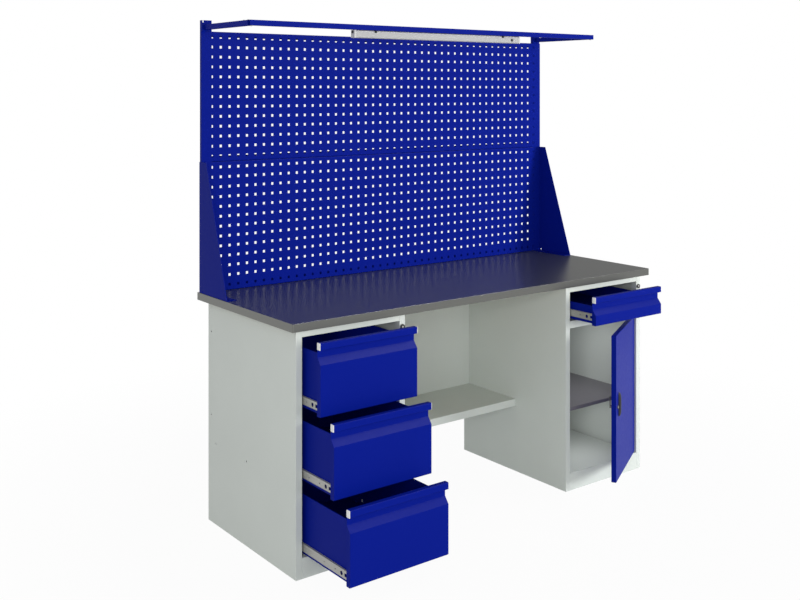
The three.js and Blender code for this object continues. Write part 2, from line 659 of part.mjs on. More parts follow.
// A perforated sheet with hems along its long edges, between the uprights.
function toolPanel(name, low, half, path, sides) {
  const high = low + PANEL_HEIGHT;
  const sheet = box(-half, half, PANEL_FRONT, PANEL_FRONT + SHEET, low, high);
  const hemHalf = UPRIGHT_INNER - 2 * GAP;
  const hems = prism("x", folded(path, SHEET), -hemHalf, hemHalf);
  const returns = sides.map((hand) =>
    box(...spanX(hand, half - SHEET, half), PANEL_FRONT, PANEL_FRONT + PANEL_SIDE_HEM, low, high));
  add(name, cut(join(sheet, hems, ...returns), ...holes(low)), blueEnamel);
}

function toolPanels() {
  const low = STAND_BASE;
  const lowerTop = low + PANEL_HEIGHT;
  const upperLow = lowerTop + PANEL_JOINT;
  const upperTop = upperLow + PANEL_HEIGHT;
  toolPanel("lower_tool_panel", low, GUSSET_INNER - GAP, [
    [PANEL_REAR, low + PANEL_FOOT_LIP],
    [PANEL_REAR, low],
    [PANEL_FRONT, low],
    [PANEL_FRONT, lowerTop],
    [PANEL_REAR, lowerTop],
  ], []);
  toolPanel("upper_tool_panel", upperLow, PANEL_WIDTH / 2, [
    [PANEL_REAR, upperLow + PANEL_LIP],
    [PANEL_REAR, upperLow],
    [PANEL_FRONT, upperLow],
    [PANEL_FRONT, upperTop],
    [PANEL_REAR, upperTop],
    [PANEL_REAR, upperTop - PANEL_LIP],
  ], [-1, 1]);
}

// Lamp frame

function lampFrame() {
  const top = FRAME_Z + FRAME_TUBE;
  const railBack = FRAME_FRONT + FRAME_TUBE;
  const armBack = UPRIGHT_FRONT - GAP;
  const wall = SHEET;
  for (const [side, hand] of [["left", -1], ["right", 1]]) {
    const [x0, x1] = spanX(hand, FRAME_OUTER - FRAME_TUBE, FRAME_OUTER);
    const bar = box(x0, x1, railBack + GAP, armBack, FRAME_Z, top);
    const bore = box(x0 + wall, x1 - wall, FRAME_FRONT, PANEL_REAR, FRAME_Z + wall, top - wall);
    add(`${side}_lamp_arm`, cut(bar, bore), blueEnamel);
  }
  const rail = box(-FRAME_OUTER, FRAME_OUTER, FRAME_FRONT, railBack, FRAME_Z, top);
  const bore = box(-FRAME_OUTER - PAST, FRAME_OUTER + PAST, FRAME_FRONT + wall, railBack - wall,
    FRAME_Z + wall, top - wall);
  add("lamp_rail", cut(rail, bore), blueEnamel);
}

// A strip lamp under the rail: a back with end caps, and a rounded cover between them.
function lamp() {
  const half = LAMP_LENGTH / 2;
  const top = FRAME_Z - GAP;
  const low = top - LAMP_HEIGHT;
  const front = FRAME_FRONT + LAMP_SETBACK;
  const back = front + LAMP_DEPTH;
  const split = back - LAMP_BACK;
  const ends = spanEnds(half).map(([from, to]) => box(from, to, front, back, low, top));
  add("lamp_body", join(box(-half, half, split, back, low, top), ...ends), lampWhite);
  const cover = new THREE.Shape();
  cover.moveTo(split - GAP, low);
  cover.lineTo(split - GAP, top);
  cover.absarc(front + LAMP_ROUND, top - LAMP_ROUND, LAMP_ROUND, Math.PI / 2, Math.PI);
  cover.absarc(front + LAMP_ROUND, low + LAMP_ROUND, LAMP_ROUND, Math.PI, (3 * Math.PI) / 2);
  const length = LAMP_LENGTH - 2 * (LAMP_END + GAP);
  const geometry = new THREE.ExtrudeGeometry(cover, { depth: length, bevelEnabled: false, curveSegments: 4 });
  add("lamp_diffuser", geometry.translate(0, 0, -length / 2).applyMatrix4(TURN.x), lampCover);
}

const spanEnds = (half) => [[-half, LAMP_END - half], [half - LAMP_END, half]];

// Assembly

function pedestal(side, centre, hinged) {
  pedestalShell(side, centre);
  pedestalBase(side, centre, hinged);
  pedestalTop(side, centre);
  stileLock(side, centre);
}

function leftDrawers() {
  const pitch = (OPENING_TOP - PLINTH) / 3;
  const height = pitch - FRONT_GAP;
  const outs = { bottom_drawer: BOTTOM_OUT, middle_drawer: MIDDLE_OUT, top_drawer: TOP_OUT };
  Object.entries(outs).forEach(([name, out], level) =>
    drawer(name, -PEDESTAL_X, PLINTH + level * pitch + FRONT_GAP / 2, height, out));
}

worktop();
pedestal("left", -PEDESTAL_X, false);
pedestal("right", PEDESTAL_X, true);
leftDrawers();
divider(PEDESTAL_X);
drawer("right_drawer", PEDESTAL_X, DIVIDER_TOP + DIVIDER_GAP, RIGHT_FRONT_HEIGHT, RIGHT_OUT);
cupboardShelf(PEDESTAL_X);
door(PEDESTAL_X);
kneehole();
for (const [side, hand] of [["left", -1], ["right", 1]]) {
  gusset(side, hand);
  upright(side, hand);
}
toolPanels();
lampFrame();
lamp();

export default bench;
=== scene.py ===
"""Looks of a steel workbench with drawers, a cupboard door, perforated tool panels and a lamp frame.

New pieces are numpy arrays in millimetres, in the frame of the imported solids: a profile carried along
a path, or a grid over two parameters. Solids whose shape is right stay and get the finishes made here.
"""

import json
import math

import bpy
import numpy as np
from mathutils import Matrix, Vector


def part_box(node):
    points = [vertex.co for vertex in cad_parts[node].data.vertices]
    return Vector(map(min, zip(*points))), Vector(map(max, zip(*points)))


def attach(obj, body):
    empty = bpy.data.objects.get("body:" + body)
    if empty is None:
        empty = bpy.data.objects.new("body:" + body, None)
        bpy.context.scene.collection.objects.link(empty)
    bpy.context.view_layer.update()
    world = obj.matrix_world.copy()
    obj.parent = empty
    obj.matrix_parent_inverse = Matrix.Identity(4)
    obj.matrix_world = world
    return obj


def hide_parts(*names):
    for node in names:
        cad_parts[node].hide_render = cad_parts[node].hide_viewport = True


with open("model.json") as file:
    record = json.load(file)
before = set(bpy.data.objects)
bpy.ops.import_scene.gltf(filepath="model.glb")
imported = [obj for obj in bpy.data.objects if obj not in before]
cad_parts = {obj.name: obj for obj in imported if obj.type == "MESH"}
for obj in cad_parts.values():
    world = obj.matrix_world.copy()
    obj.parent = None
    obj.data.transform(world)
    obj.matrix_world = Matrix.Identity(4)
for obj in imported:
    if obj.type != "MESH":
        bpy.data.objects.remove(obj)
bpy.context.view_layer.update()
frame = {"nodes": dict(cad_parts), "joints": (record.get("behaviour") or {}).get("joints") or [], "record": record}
NODES = frame["nodes"]
MM = 0.001

# Sizes that several pieces share, in millimetres

SHEET = 1.5
BEND = 1.5
BEND_STEPS = 5
CORNER_STEPS = 5
SHARP_ANGLE = math.radians(40)
DRAWERS = ("top_drawer", "middle_drawer", "bottom_drawer", "right_drawer")

# Finishes

# where the values of a noise pattern mostly lie
NOISE_RANGE = {"From Min": 0.3, "From Max": 0.7}
# sockets of the Mix node for numbers and for colours, which share their names
FROM_NUMBER = 2
TO_NUMBER = 3
FROM_COLOUR = 6
TO_COLOUR = 7
MIXED_COLOUR = 2


def linear(shade):
    """An sRGB hex value as linear red, green and blue, with alpha 1."""
    part = np.array([int(shade[i : i + 2], 16) for i in (0, 2, 4)]) / 255
    light = np.where(part <= 0.04045, part / 12.92, ((part + 0.055) / 1.055) ** 2.4)
    return (*light.tolist(), 1.0)


def shaded(shade, factor):
    """A colour made lighter or darker, in linear values."""
    return (*[min(1.0, c * factor) for c in linear(shade)[:3]], 1.0)


def repeats(width):
    """How often a pattern of a width in millimetres comes in a metre."""
    return 1 / (width * MM)


def node(tree, kind, inputs=None, **settings):
    """Adds a node with its properties. Each input, given by its name or number, is linked to an output
    or set to a value."""
    made = tree.nodes.new(kind)
    for key, value in settings.items():
        setattr(made, key, value)
    for key, source in (inputs or {}).items():
        if isinstance(source, bpy.types.NodeSocket):
            tree.links.new(source, made.inputs[key])
        else:
            made.inputs[key].default_value = source
    return made


def cleared(owner):
    """The node tree of a material or a world, emptied."""
    owner.use_nodes = True
    owner.node_tree.nodes.clear()
    return owner.node_tree


def blank_finish(name, sockets=None):
    """A material with only its shader and output, and the Object coordinates that its patterns read."""
    material = bpy.data.materials.new(name)
    tree = cleared(material)
    shader = node(tree, "ShaderNodeBsdfPrincipled", sockets)
    node(tree, "ShaderNodeOutputMaterial", {"Surface": shader.outputs[0]})
    place = node(tree, "ShaderNodeTexCoord").outputs["Object"]
    return material, tree, shader, place


def vary_colour(tree, shader, pattern, shade, low, high):
    """Takes the colour from a darker to a lighter shade as a pattern goes through its range."""
    share = node(tree, "ShaderNodeMapRange", {"Value": pattern, **NOISE_RANGE})
    ends = {FROM_COLOUR: shaded(shade, low), TO_COLOUR: shaded(shade, high)}
    colour = node(tree, "ShaderNodeMix", {0: share.outputs[0], **ends}, data_type="RGBA")
    tree.links.new(colour.outputs[MIXED_COLOUR], shader.inputs["Base Color"])


def vary_gloss(tree, shader, pattern, roughness, give):
    """Takes the roughness a little down and up as a pattern goes through its range."""
    ends = {"To Min": roughness - give, "To Max": roughness + give}
    gloss = node(tree, "ShaderNodeMapRange", {"Value": pattern, **NOISE_RANGE, **ends})
    tree.links.new(gloss.outputs[0], shader.inputs["Roughness"])


def powder_coat(name, shade, roughness, level=0.5):
    """Polyester powder coat baked on steel: one even colour, a satin sheen and the faint ripple that
    is called orange peel. Its cells are about 2 mm wide and are drawn 5 mm wide, so that they show."""
    material, tree, shader, place = blank_finish(name, {"Specular IOR Level": level})
    cloud = node(tree, "ShaderNodeTexNoise", {"Vector": place, "Scale": repeats(220), "Detail": 3.0})
    vary_colour(tree, shader, cloud.outputs["Fac"], shade, 0.985, 1.015)
    grain = node(tree, "ShaderNodeTexNoise", {"Vector": place, "Scale": repeats(12), "Detail": 2.0})
    vary_gloss(tree, shader, grain.outputs["Fac"], roughness, 0.03)
    peel = node(tree, "ShaderNodeTexNoise", {"Vector": place, "Scale": repeats(5), "Detail": 1.0})
    relief = {"Height": peel.outputs["Fac"], "Strength": 0.05, "Distance": 0.4 * MM}
    bump = node(tree, "ShaderNodeBump", relief)
    tree.links.new(bump.outputs[0], shader.inputs["Normal"])
    return material


def steel_sheet(name, shade, roughness, metallic, edge):
    """Cold-rolled steel sheet with a satin face: soft reflections, drawn out along the rolling
    direction by fine lines. The lines are under 0.5 mm wide and are drawn 3 mm wide, so that they show."""
    sockets = {"Metallic": metallic, "Specular Tint": (edge, edge, edge, 1)}
    material, tree, shader, place = blank_finish(name, sockets)
    rolling = {"Vector": place, "Scale": (repeats(400), repeats(3), repeats(3))}
    rolled = node(tree, "ShaderNodeMapping", rolling)
    lines = node(tree, "ShaderNodeTexNoise", {"Vector": rolled.outputs[0], "Scale": 1.0, "Detail": 4.0})
    vary_colour(tree, shader, lines.outputs["Fac"], shade, 0.97, 1.03)
    vary_gloss(tree, shader, lines.outputs["Fac"], roughness, 0.012)
    return material


def zinc_plate(name, shade, roughness, metallic=1.0):
    """Zinc plating on rolled steel: a pale metal, milky where it is passivated and so less metallic,
    with fine marks along the rail. The marks are drawn 1 mm wide and 60 mm long."""
    material, tree, shader, place = blank_finish(name, {"Metallic": metallic})
    drawing = {"Vector": place, "Scale": (repeats(1), repeats(60), repeats(1))}
    drawn = node(tree, "ShaderNodeMapping", drawing)
    marks = node(tree, "ShaderNodeTexNoise", {"Vector": drawn.outputs[0], "Scale": 1.0, "Detail": 3.0})
    vary_colour(tree, shader, marks.outputs["Fac"], shade, 0.85, 1.1)
    vary_gloss(tree, shader, marks.outputs["Fac"], roughness, 0.06)
    return material


def moulded_plastic(name, shade, roughness):
    """Injection-moulded plastic with a fine spark-eroded grain. The grain is about 0.3 mm and is drawn
    1 mm wide, so that it shows."""
    material, tree, shader, place = blank_finish(name)
    grain = node(tree, "ShaderNodeTexNoise", {"Vector": place, "Scale": repeats(1), "Detail": 2.0})
    vary_colour(tree, shader, grain.outputs["Fac"], shade, 0.94, 1.06)
    vary_gloss(tree, shader, grain.outputs["Fac"], roughness, 0.05)
    relief = {"Height": grain.outputs["Fac"], "Strength": 0.1, "Distance": 0.1 * MM}
    bump = node(tree, "ShaderNodeBump", relief)
    tree.links.new(bump.outputs[0], shader.inputs["Normal"])
    return material


def pressed_board(name, dark, pale):
    """Raw chipboard: pale flakes about 4 mm long pressed among darker ones, dull all over."""
    material, tree, shader, place = blank_finish(name, {"Roughness": 0.85})
    flakes = node(tree, "ShaderNodeTexVoronoi", {"Vector": place, "Scale": repeats(4)})
    split = node(tree, "ShaderNodeSeparateColor", {0: flakes.outputs["Color"]})
    ends = {FROM_COLOUR: linear(dark), TO_COLOUR: linear(pale)}
    colour = node(tree, "ShaderNodeMix", {0: split.outputs[0], **ends}, data_type="RGBA")
    tree.links.new(colour.outputs[MIXED_COLOUR], shader.inputs["Base Color"])
    return material


# pedestals: a pale grey that lies between satin and matt
GREY_COAT = powder_coat("grey_powder_coat", "CED4CF", 0.5, 0.3)
# drawers, door, panels and lamp frame: a deep blue that keeps its colour in the light
BLUE_COAT = powder_coat("blue_powder_coat", "06187F", 0.42, 0.03)
# worktop: bare sheet, dark where it mirrors the blue panels and light at a low angle
TOP_STEEL = steel_sheet("satin_steel_sheet", "6D6E6B", 0.29, 0.9, 1.0)
# slide rails: passivated, half metal and half milky
ZINC = zinc_plate("zinc_plated_steel", "A2A29E", 0.34, 0.45)
# screw heads in the drawers: almost white against the blue
MILKY_ZINC = zinc_plate("milky_zinc", "E0E0E4", 0.4, 0.2)
# cores of the locks: small bright discs
BRIGHT_ZINC = zinc_plate("bright_zinc", "D0D0CC", 0.34)
# door lock and its cam: zinc darker than the rails; the darkness is painted shade, so that the cam that shows past
# the door's free edge sinks into the shade behind the door
SHADE_DARKENED_ZINC = zinc_plate("shade_darkened_zinc", "6E6E6A", 0.48)
# loose shelf: galvanised sheet gone dull, which hardly mirrors the door beside it
GALVANISED = steel_sheet("galvanised_sheet", "807D83", 0.4, 0.15, 0.6)
# handle, pedestal locks and lamp fittings in black, and caps of the drawers' lips in white: soft
# highlights on a fine grain
BLACK_PLASTIC = moulded_plastic("black_moulded_plastic", "1B1C1E", 0.45)
WHITE_PLASTIC = moulded_plastic("white_moulded_plastic", "E4E4E2", 0.4)
# lamp, which is switched off: a white body and a milky cover
LAMP_ENAMEL = powder_coat("white_lamp_enamel", "BABAB9", 0.4)
LAMP_COVER = moulded_plastic("milky_lamp_cover", "A8A8A8", 0.3)
# core of the worktop, seen only from below
BOARD = pressed_board("raw_chipboard", "8A7250", "B89D72")

# Shape tools


def quads(rows, columns, closed=False, looped=False):
    """Faces of a grid of points that runs along its columns first; closed joins the last column to the
    first, and looped the last row to the first."""
    r, c = np.meshgrid(np.arange(rows - (not looped)), np.arange(columns - (not closed)), indexing="ij")
    n = (c + 1) % columns
    b = (r + 1) % rows
    cells = (r * columns + c, r * columns + n, b * columns + n, b * columns + c)
    return np.stack(cells, -1).reshape(-1, 4).tolist()


def gathered(*parts):
    """Several sets of points and faces as one."""
    points, faces, count = [], [], 0
    for some, theirs in parts:
        points.append(np.asarray(some, float))
        faces += [[i + count for i in face] for face in theirs]
        count += len(some)
    return np.concatenate(points), faces


# for each axis, where x, y and z stand in an outline's two numbers followed by the place on the axis
AXES = {"x": (2, 0, 1), "y": (1, 2, 0), "z": (0, 1, 2)}


def extruded(outline, axis, low, high):
    """A closed outline carried straight along an axis, with flat ends. The outline runs anticlockwise
    in (y, z) for x, (z, x) for y and (x, y) for z."""
    outline = np.asarray(outline, float)
    count = len(outline)
    rings = np.concatenate([np.c_[outline, np.full(count, end)] for end in (low, high)])
    ends = [list(range(count))[::-1], list(range(count, 2 * count))]
    return rings[:, AXES[axis]], quads(2, count, True) + ends


def bar(x0, x1, y0, y1, z0, z1):
    """A straight bar between two corners."""
    return extruded([(x0, y0), (x1, y0), (x1, y1), (x0, y1)], "z", z0, z1)


def bent(path, wall=SHEET, radius=BEND):
    """The outline of a sheet folded along a path, with the sheet to the right of the path. At each bend
    both faces follow arcs about one centre, the inner one with the given radius."""
    path = np.asarray(path, float)
    step = np.diff(path, axis=0)
    step /= np.linalg.norm(step, axis=1)[:, None]
    before, after = step[:-1], step[1:]
    turn = np.arctan2(before[:, 0] * after[:, 1] - before[:, 1] * after[:, 0], (before * after).sum(1))
    side = -np.sign(turn)
    right = np.c_[step[:, 1], -step[:, 0]]
    face = np.where(side > 0, radius + wall, radius)
    back = face - side * wall
    reach = face * np.tan(np.abs(turn) / 2)
    centre = path[1:-1] - before * reach[:, None] + right[:-1] * (side * face)[:, None]
    angle = turn[:, None] * np.linspace(0, 1, BEND_STEPS)[None]
    spoke = -right[:-1] * side[:, None]
    spokes = np.stack([
        spoke[:, :1] * np.cos(angle) - spoke[:, 1:] * np.sin(angle),
        spoke[:, :1] * np.sin(angle) + spoke[:, 1:] * np.cos(angle),
    ], -1)
    front = (centre[:, None] + spokes * face[:, None, None]).reshape(-1, 2)
    rear = (centre[:, None] + spokes * back[:, None, None]).reshape(-1, 2)
    front = np.concatenate([path[:1], front, path[-1:]])
    rear = np.concatenate([path[:1] + right[:1] * wall, rear, path[-1:] + right[-1:] * wall])
    return np.concatenate([rear, front[::-1]])


def ringed(x0, x1, y0, y1, corner, profile):
    """A profile of (inset, height) pairs carried round a rectangle with rounded corners. At an inset the
    corners keep their centres and lose that much radius. The first and last rings are closed flat."""
    inset, height = np.asarray(profile, float).T
    turn = np.linspace(0, math.pi / 2, CORNER_STEPS)
    angle = np.concatenate([turn + k * math.pi / 2 for k in range(4)])
    right = np.repeat([True, False, False, True], CORNER_STEPS)
    upper = np.repeat([True, True, False, False], CORNER_STEPS)
    radius = np.maximum(corner - inset, 0)[:, None]
    hold = np.maximum(corner, inset)[:, None]
    x = np.where(right, x1 - hold, x0 + hold) + radius * np.cos(angle)
    y = np.where(upper, y1 - hold, y0 + hold) + radius * np.sin(angle)
    return stacked_rings(x, y, height)


def turned(profile, sides=32):
    """A profile of (radius, height) pairs spun about z, with flat ends."""
    radius, height = np.asarray(profile, float).T
    angle = np.linspace(0, 2 * math.pi, sides, endpoint=False)
    return stacked_rings(radius[:, None] * np.cos(angle), radius[:, None] * np.sin(angle), height)


def stacked_rings(x, y, height):
    """Closed rings, one in each row of x and y and at its own height, joined in turn. The first and last
    are closed flat."""
    rows, count = x.shape
    z = np.broadcast_to(height[:, None], x.shape)
    first = list(range(count))[::-1]
    last = list(range((rows - 1) * count, rows * count))
    return np.stack([x, y, z], -1).reshape(-1, 3), quads(rows, count, True) + [first, last]


def arc(radius, start, end, steps):
    """Points on a circle about the origin, between two angles in degrees."""
    angle = np.radians(np.linspace(start, end, steps))
    return np.c_[radius * np.cos(angle), radius * np.sin(angle)].tolist()


def rounded(radius, height, start, end, steps=BEND_STEPS):
    """A round edge of a profile, as (inset, height) pairs: part of a circle whose centre lies its radius
    inwards, at the given height."""
    return [(radius - c, height + s) for c, s in arc(radius, start, end, steps)]


def pan(low, high, bend, back):
    """The profile of a folded pan, as (inset, height) pairs: it goes over the upper bend, down the side,
    round the lower bend to the end of its return, and back inside. It is given from its inner end."""
    over = rounded(bend, high - bend, 90, 0)
    under = rounded(bend, low + bend, 0, -90)
    inner = [(back, low), (back, low + SHEET), (SHEET, low + SHEET), (SHEET, high - SHEET)]
    return (over + under + inner)[::-1]


# turns that bring a shape's own x, y and z to the bench; each is named for where its z then points
FRONTWARD = np.array([[1, 0, 0], [0, 0, -1], [0, 1, 0]], float)
LEFTWARD = np.array([[0, 0, -1], [-1, 0, 0], [0, 1, 0]], float)
RIGHTWARD = np.array([[0, 0, 1], [1, 0, 0], [0, 1, 0]], float)
UPWARD = np.eye(3)
DOWNWARD = np.diag([1.0, -1.0, -1.0])


def placed(shape, turn=UPWARD, at=(0, 0, 0)):
    """A shape turned and then moved."""
    points, faces = shape
    return points @ turn.T + np.asarray(at, float), faces


def flipped(shape):
    """A shape mirrored from right to left, with its faces still pointing outwards."""
    points, faces = shape
    return points * (-1, 1, 1), [face[::-1] for face in faces]


def piece(name, shape, body, material, replaces=()):
    """Puts a shape given in millimetres into a mesh at the origin, and lets it ride on a body. Its normals
    follow the larger faces, so that a flat sheet stays even up to its bends."""
    points, faces = shape
    mesh = bpy.data.meshes.new(name)
    mesh.from_pydata((np.asarray(points) * MM).tolist(), [], faces)
    mesh.polygons.foreach_set("use_smooth", np.ones(len(mesh.polygons), bool))
    mesh.set_sharp_from_angle(angle=SHARP_ANGLE)
    mesh.materials.append(material)
    made = bpy.data.objects.new(name, mesh)
    bpy.context.scene.collection.objects.link(made)
    made.modifiers.new("even_faces", "WEIGHTED_NORMAL").keep_sharp = True
    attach(made, body)
    if replaces:
        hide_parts(*replaces)


def span(name):
    """The corners of a solid at rest, in millimetres."""
    low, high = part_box(name)
    return np.array(low) / MM, np.array(high) / MM


# Solids that stay

FINISH_OF_SLOT = {
    "grey_enamel": GREY_COAT,
    "blue_enamel": BLUE_COAT,
    "dark_enamel": GALVANISED,
    "satin_steel": TOP_STEEL,
    "chipboard": BOARD,
    "zinc": ZINC,
    "black_plastic": BLACK_PLASTIC,
    "lamp_white": LAMP_ENAMEL,
    "lamp_cover": LAMP_COVER,
}
WELD_GAP = 0.02
EDGE_WIDTH = 0.5
EDGE_ANGLE = math.radians(30)


def dress_solids():
    """Gives the solids their finishes, and breaks their edges as a sheared and coated sheet has them."""
    for entry in frame["record"]["subparts"]:
        solid = NODES[entry["node"]]
        # the door lock gets the darker zinc: painted shade for its cam, which shows past the door's free edge
        finish = SHADE_DARKENED_ZINC if entry["node"] == "door_lock" else FINISH_OF_SLOT[entry["material_slot"]]
        solid.data.materials.clear()
        solid.data.materials.append(finish)
        weld = solid.modifiers.new("weld", "WELD")
        weld.merge_threshold = WELD_GAP * MM
        bevel = solid.modifiers.new("edge", "BEVEL")
        bevel.width = EDGE_WIDTH * MM
        bevel.segments = 2
        bevel.limit_method = "ANGLE"
        bevel.angle_limit = EDGE_ANGLE
        bevel.harden_normals = True


# Worktop and cupboard shelf

TOP_EDGE = 0.4
TOP_CORNER = 5
SHELF_BEND = 2.5
SHELF_CORNER = 3
SHELF_RETURN = 12


def worktop():
    """Steel cover of the worktop: the profile goes over the rounded top edge, down, and back up inside."""
    low, high = span("worktop_cover")
    over = rounded(TOP_EDGE, high[2] - TOP_EDGE, 90, 0)
    profile = over + [(0, low[2]), (SHEET, low[2]), (SHEET, high[2] - SHEET)]
    shape = ringed(low[0], high[0], low[1], high[1], TOP_CORNER, profile[::-1])
    piece("worktop_sheet", shape, "bench", TOP_STEEL, ["worktop_cover"])


def cupboard_shelf():
    """Galvanised shelf: a folded pan turned down, carried round the shelf's outline."""
    low, high = span("cupboard_shelf")
    profile = pan(low[2], high[2], SHELF_BEND, SHELF_RETURN)
    shape = ringed(low[0], high[0], low[1], high[1], SHELF_CORNER, profile)
    piece("shelf_sheet", shape, "bench", GALVANISED, ["cupboard_shelf"])


# Drawer fronts

LIP_HEIGHT = 24
RECESS_WALL = 26
RECESS_SLOPE = 23
RECESS_DEPTH = 18
FRONT_RETURN = 22
# the plates in the ends of a front: how far they stand back from its ends, and inside its bends
PLATE_SETBACK = 0.2
PLATE_INSET = 1
CAP_DEPTH = 18
CAP_THICK = 2
CAP_RIM = 0.6
CAP_CORNER = 1.5
CAP_PLAY = 0.2


def drawer_front(drawer):
    """The folded front of a drawer: one bent outline carried along x, with plates closing its ends below
    the grip, and caps on the ends of its lip."""
    low, high = span(f"{drawer}_front")
    front, rear = low[1], high[1]
    bottom, top = low[2], high[2]
    recess = front + RECESS_DEPTH
    recess_top = top - LIP_HEIGHT
    recess_foot = recess_top - RECESS_WALL
    slope_foot = recess_foot - RECESS_SLOPE
    section = bent([
        (rear, bottom + FRONT_RETURN),
        (rear, bottom),
        (front, bottom),
        (front, slope_foot),
        (recess, recess_foot),
        (recess, recess_top),
        (front, recess_top),
        (front, top),
        (rear, top),
        (rear, recess_top + 2 * SHEET),
    ])
    end = [
        (front + PLATE_INSET, bottom + PLATE_INSET),
        (rear, bottom),
        (rear, recess_foot),
        (recess, recess_foot),
        (front + PLATE_INSET, slope_foot),
    ]
    starts = (low[0] + PLATE_SETBACK, high[0] - SHEET - PLATE_SETBACK)
    plates = [extruded(end, "x", x, x + SHEET) for x in starts]
    shape = gathered(extruded(section, "x", low[0], high[0]), *plates)
    piece(f"{drawer}_face", shape, drawer, BLUE_COAT, [f"{drawer}_front"])
    cap = lip_cap(front, recess_top, top)
    for side, shape, x in (("left", flipped(cap), low[0]), ("right", cap, high[0])):
        shape = placed(shape, UPWARD, (x, 0, 0))
        piece(f"{drawer}_{side}_lip_cap", shape, drawer, WHITE_PLASTIC)


def lip_cap(front, low, high):
    """The cap that closes the right end of a lip: a flat plate with rounded corners and a rounded rim."""
    profile = [(0, 0)] + rounded(CAP_RIM, CAP_THICK - CAP_RIM, 0, 90, 3)
    y0, y1 = front + CAP_PLAY, front + CAP_DEPTH - CAP_PLAY
    return placed(ringed(y0, y1, low + CAP_PLAY, high - CAP_PLAY, CAP_CORNER, profile), RIGHTWARD)


# Tool panels

HOLE = 10
HOLE_PITCH = 38
HOLE_COLUMNS = 46
HOLE_ROWS = 13
PANEL_LIP = 20.5
PANEL_FOOT_LIP = 26
PANEL_SIDE_HEM = 14
PANEL_STRIP = 4
UPRIGHT_PLAY = 0.6


def perforated(x0, x1, z0, z1, y0, y1, columns, rows):
    """A flat sheet with holes, whose columns and rows are pairs of a low and a high edge. Grid lines run
    along both edges of every hole, so the cells where both counts are odd are the holes: they are left
    out, and their edges are walled from face to face. The sheet's own rim is walled in the same way."""
    x = np.r_[x0, np.ravel(columns), x1]
    z = np.r_[z0, np.ravel(rows), z1]
    wide, tall = len(x), len(z)
    gz, gx = np.meshgrid(z, x, indexing="ij")
    points = [np.stack([gx, np.full_like(gx, y), gz], -1).reshape(-1, 3) for y in (y0, y1)]
    i, j = np.meshgrid(np.arange(tall - 1), np.arange(wide - 1), indexing="ij")
    hole = (i % 2 == 1) & (j % 2 == 1)
    corner = i * wide + j
    cell = np.stack([corner, corner + 1, corner + wide + 1, corner + wide], -1)
    back = wide * tall
    front_faces = cell[~hole]
    rear_faces = front_faces[:, ::-1] + back
    ring = cell[hole]
    following = np.roll(ring, -1, axis=1)
    walls = np.stack([following, following + back, ring + back, ring], -1).reshape(-1, 4)
    rim = np.concatenate([
        np.arange(wide),
        np.arange(2, tall + 1) * wide - 1,
        back - 2 - np.arange(wide - 1),
        np.arange(tall - 2, 0, -1) * wide,
    ])
    after = np.roll(rim, -1)
    border = np.stack([after, rim, rim + back, after + back], -1)
    return np.concatenate(points), np.concatenate([front_faces, rear_faces, walls, border]).tolist()


def tool_panel(name, solid, foot_lip, head_lip=0, side_hem=0):
    """A perforated sheet between two hems, which are bent outlines carried along x from upright to
    upright. Beyond the uprights plain strips go on to the sheet's ends. A hem may end in a lip, and the
    sides may have a hem of their own."""
    low, high = span(solid)
    front, rear = low[1], high[1]
    middle = (low[2] + high[2]) / 2
    edges = np.array([-HOLE / 2, HOLE / 2])
    columns = (np.arange(HOLE_COLUMNS) - (HOLE_COLUMNS - 1) / 2)[:, None] * HOLE_PITCH + edges
    rows = middle + (np.arange(HOLE_ROWS) - (HOLE_ROWS - 1) / 2)[:, None] * HOLE_PITCH + edges
    foot, head = low[2] + PANEL_STRIP, high[2] - PANEL_STRIP
    inside = span("right_upright")[0][0] - UPRIGHT_PLAY
    parts = [perforated(low[0], high[0], foot, head, front, front + SHEET, columns, rows)]
    for edge, start, lip in ((low[2], foot, foot_lip), (high[2], head, -head_lip)):
        path = [(front, start), (front, edge), (rear, edge)]
        if lip:
            path.append((rear, edge + lip))
        path = path[::-1] if start > edge else path
        parts.append(extruded(bent(path), "x", -inside, inside))
        z0, z1 = sorted((edge, start))
        for x0, x1 in ((low[0], -inside), (inside, high[0])):
            parts.append(bar(x0, x1, front, front + SHEET, z0, z1))
    if side_hem:
        for x in (low[0], high[0] - SHEET):
            parts.append(bar(x, x + SHEET, front + SHEET, front + side_hem, low[2], high[2]))
    piece(name, gathered(*parts), "bench", BLUE_COAT, [solid])


# Door

DOOR_WIDTH = 402
DOOR_INSET = 14
DOOR_THICK = 20
DOOR_BEND = 2
DOOR_CORNER = 3
DOOR_RETURN = 14
DOOR_ANGLE = math.radians(30)
FREE_EDGE = DOOR_INSET - DOOR_WIDTH
# what is fitted on the leaf begins here, with a little play
DOOR_SEAT = -DOOR_THICK / 2 - 0.3
PIN_RADIUS = 4
PIN_REACH = 8
PIN_ROOT = 1
GRIP_DEPTH = 10.5
GRIP_HALF_WIDTH = 7
GRIP_FROM_EDGE = 50
GRIP_ROWS = 33
GRIP_COLUMNS = 17


def on_door(shape):
    """Takes a shape from the shut door, with the hinge line at its origin, to the open door."""
    hinge = next(j for j in frame["joints"] if j["name"] == "door_hinge")
    swing = np.array([
        [math.cos(DOOR_ANGLE), -math.sin(DOOR_ANGLE), 0],
        [math.sin(DOOR_ANGLE), math.cos(DOOR_ANGLE), 0],
        [0, 0, 1],
    ])
    return placed(shape, swing, (hinge["pos_m"][0] / MM, hinge["pos_m"][1] / MM, 0))


